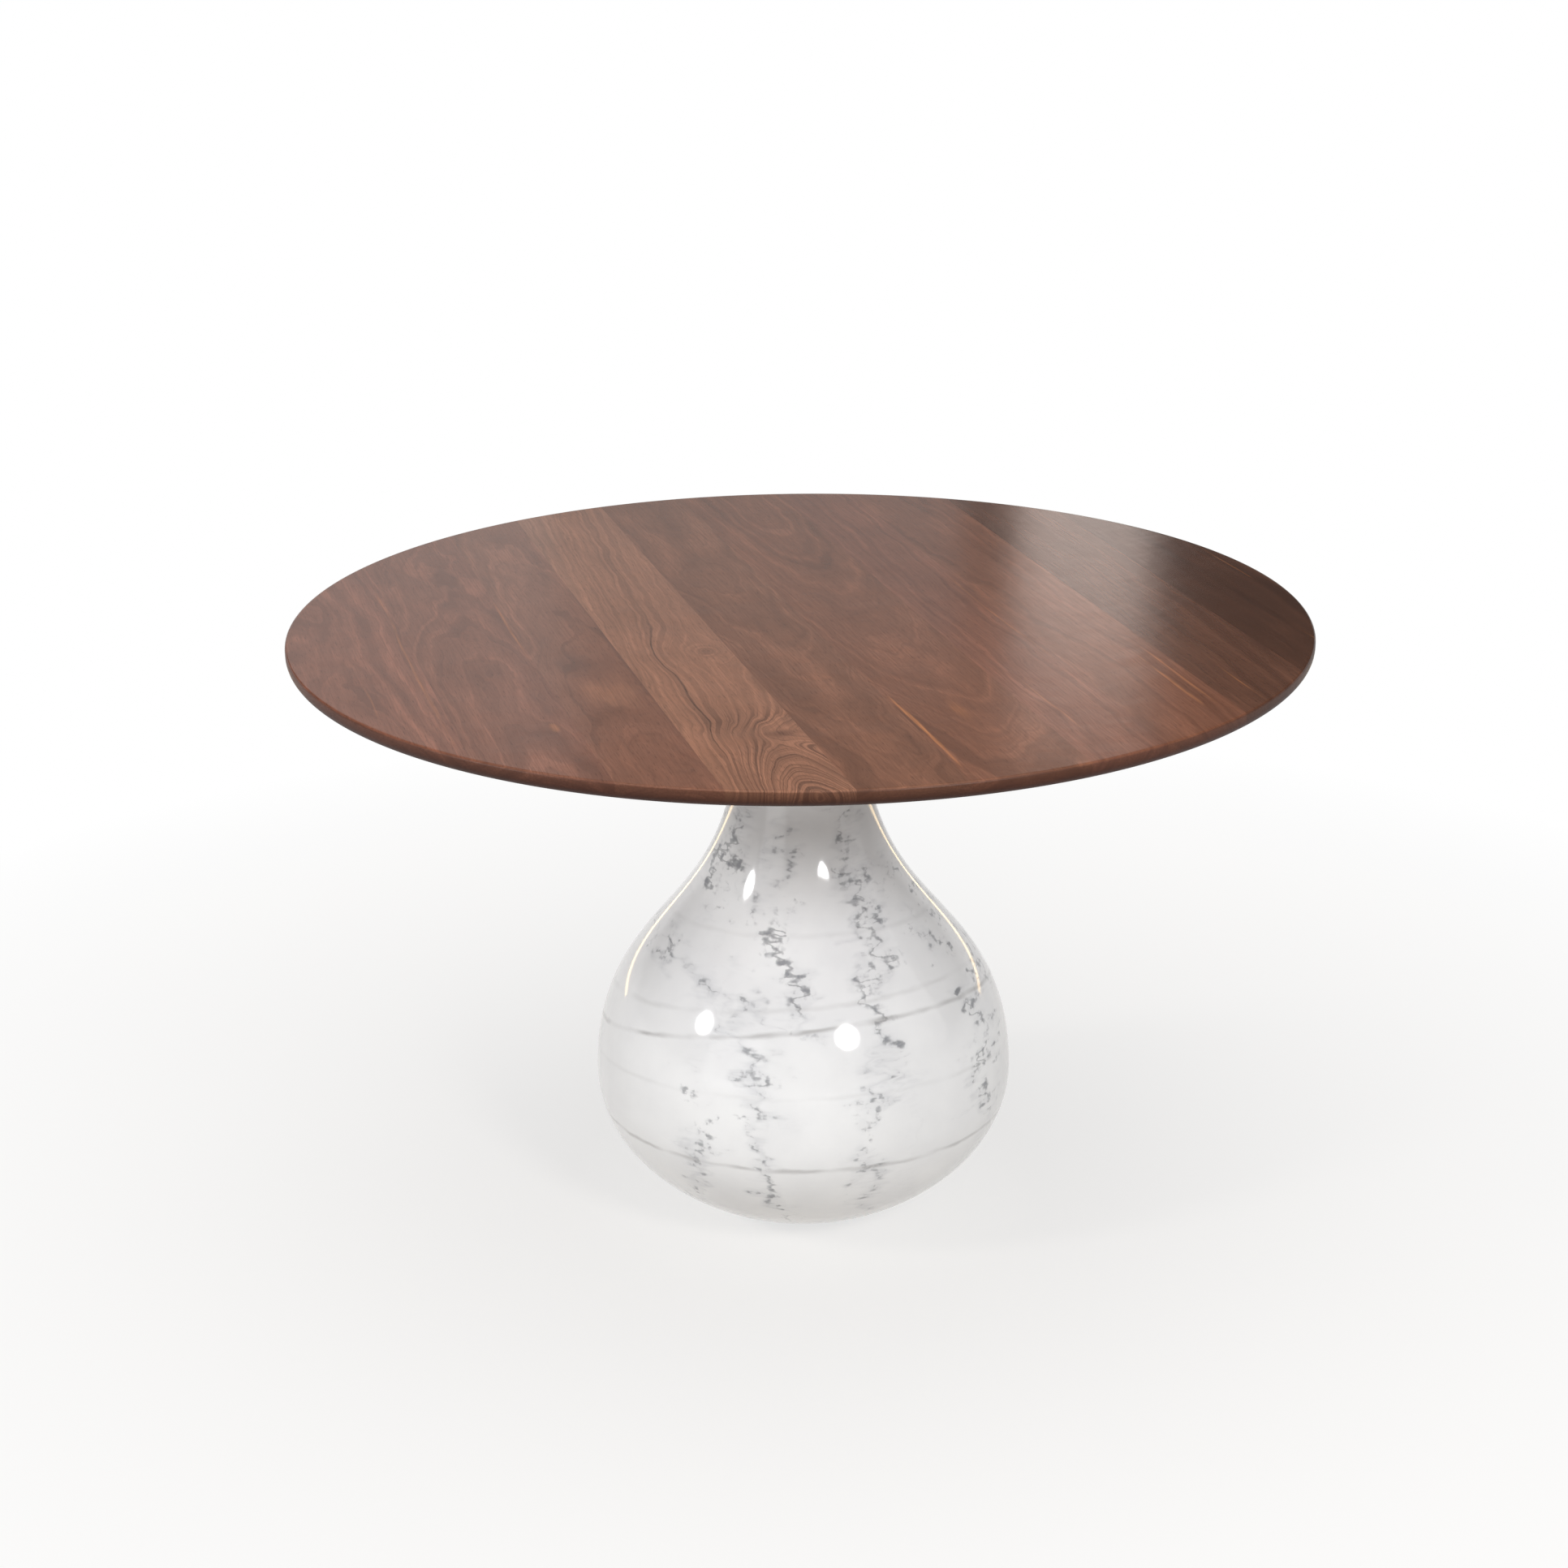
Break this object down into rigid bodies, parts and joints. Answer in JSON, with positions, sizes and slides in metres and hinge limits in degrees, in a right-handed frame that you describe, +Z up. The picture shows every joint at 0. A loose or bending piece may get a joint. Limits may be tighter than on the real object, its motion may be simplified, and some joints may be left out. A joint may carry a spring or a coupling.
{
  "type": "tilt top pedestal table",
  "caption": "Round walnut pedestal table on a turned marble drop base; the top tips upright on an offset hinge and is held flat by a turn catch.",
  "frame": {"origin": "on the floor under the middle of the pedestal, at the undersides of the foot pads", "axes": "+Z up, +Y along the grain of the boards and along the hinge line, +X towards the side of the top that swings down"},
  "size_m": [1.1999, 1.2, 0.75],
  "materials": {
    "walnut": "satin lacquered walnut",
    "bearer_wood": "oiled walnut",
    "marble": "polished white marble with grey veins",
    "black_steel": "fine textured black powder coat",
    "zinc_steel": "bright zinc plate",
    "bright_steel": "ground steel",
    "bronze": "turned bearing bronze",
    "rubber": "matt black rubber",
    "nylon": "moulded black nylon"
  },
  "bodies": {
    "pedestal": {"pedestal": "marble", "base_plate": "black_steel", "base_gasket": "rubber", "foot_bushes": "bronze", "tie_rod": "zinc_steel", "tie_rod_nuts": "zinc_steel", "tie_rod_washer": "zinc_steel", "head_gasket": "rubber", "head_plate": "black_steel", "arm_screws": "zinc_steel", "hinge_arm_front": "black_steel", "hinge_arm_back": "black_steel", "hinge_bush_front": "bronze", "hinge_bush_back": "bronze", "landing_pads": "rubber", "stop_pads": "rubber", "crossbar": "black_steel", "crossbar_screws": "zinc_steel", "latch_bush": "bronze"},
    "top": {"top_board_1": "walnut", "top_board_2": "walnut", "top_board_3": "walnut", "top_board_4": "walnut", "top_board_5": "walnut", "top_board_6": "walnut", "top_board_7": "walnut", "top_board_8": "walnut", "top_board_9": "walnut", "top_board_10": "walnut", "bearer_front": "bearer_wood", "bearer_back": "bearer_wood", "bearer_screws": "zinc_steel", "hinge_cheek_front": "black_steel", "hinge_cheek_back": "black_steel", "cheek_screws": "zinc_steel", "hinge_pin_front": "bright_steel", "hinge_pin_back": "bright_steel", "pin_washers": "bright_steel", "pin_circlips": "bright_steel", "keeper_block": "bearer_wood", "keeper_plate": "zinc_steel", "keeper_screws": "zinc_steel"},
    "latch": {"latch_spindle": "bright_steel", "latch_handle": "black_steel", "latch_pin": "bright_steel", "latch_washer": "bright_steel"},
    "foot_1": {"foot_stem_1": "zinc_steel", "foot_pad_1": "nylon"},
    "foot_2": {"foot_stem_2": "zinc_steel", "foot_pad_2": "nylon"},
    "foot_3": {"foot_stem_3": "zinc_steel", "foot_pad_3": "nylon"},
    "foot_4": {"foot_stem_4": "zinc_steel", "foot_pad_4": "nylon"}
  },
  "joints": [
    {"name": "top_tilt", "type": "hinge", "parent": "pedestal", "child": "top", "pos_m": [0.22, 0, 0.671], "axis": [0, 1, 0], "range_deg": [0, 90]},
    {"name": "latch_turn", "type": "hinge", "parent": "pedestal", "child": "latch", "pos_m": [-0.2, 0, 0.67], "axis": [0, 0, 1], "range_deg": [0, 90]},
    {"name": "foot_1_adjust", "type": "slide", "parent": "pedestal", "child": "foot_1", "axis": [0, 0, -1], "range_m": [0, 0.008]},
    {"name": "foot_2_adjust", "type": "slide", "parent": "pedestal", "child": "foot_2", "axis": [0, 0, -1], "range_m": [0, 0.008]},
    {"name": "foot_3_adjust", "type": "slide", "parent": "pedestal", "child": "foot_3", "axis": [0, 0, -1], "range_m": [0, 0.008]},
    {"name": "foot_4_adjust", "type": "slide", "parent": "pedestal", "child": "foot_4", "axis": [0, 0, -1], "range_m": [0, 0.008]}
  ]
}
